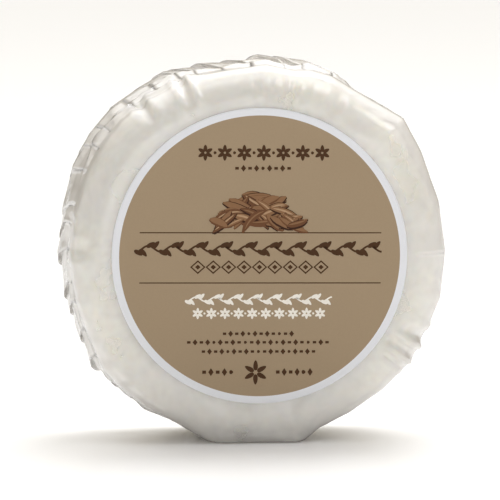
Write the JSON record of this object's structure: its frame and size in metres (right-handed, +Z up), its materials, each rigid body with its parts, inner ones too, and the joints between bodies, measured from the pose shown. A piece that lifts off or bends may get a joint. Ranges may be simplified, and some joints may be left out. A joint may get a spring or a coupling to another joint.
{
  "type": "shaving soap puck",
  "caption": "Round pressed shaving soap in a clear film wrap, pleated round the rim and gathered on the back, with a round label on the face and on the back; stands on its rim.",
  "frame": {"origin": "middle of the flat foot that the pack stands on: the bottom centre of its box", "axes": "+Z up, -Y out of the face label, +X to the right as the face label is read"},
  "size_m": [0.062, 0.0238, 0.0617],
  "materials": {
    "soap": "satin",
    "clear_film": "gloss",
    "printed_paper": "satin",
    "plain_paper": "satin"
  },
  "bodies": {
    "root": {"soap_puck": "soap", "wrapper_film": "clear_film", "face_label": "printed_paper", "back_label": "plain_paper"}
  },
  "joints": []
}
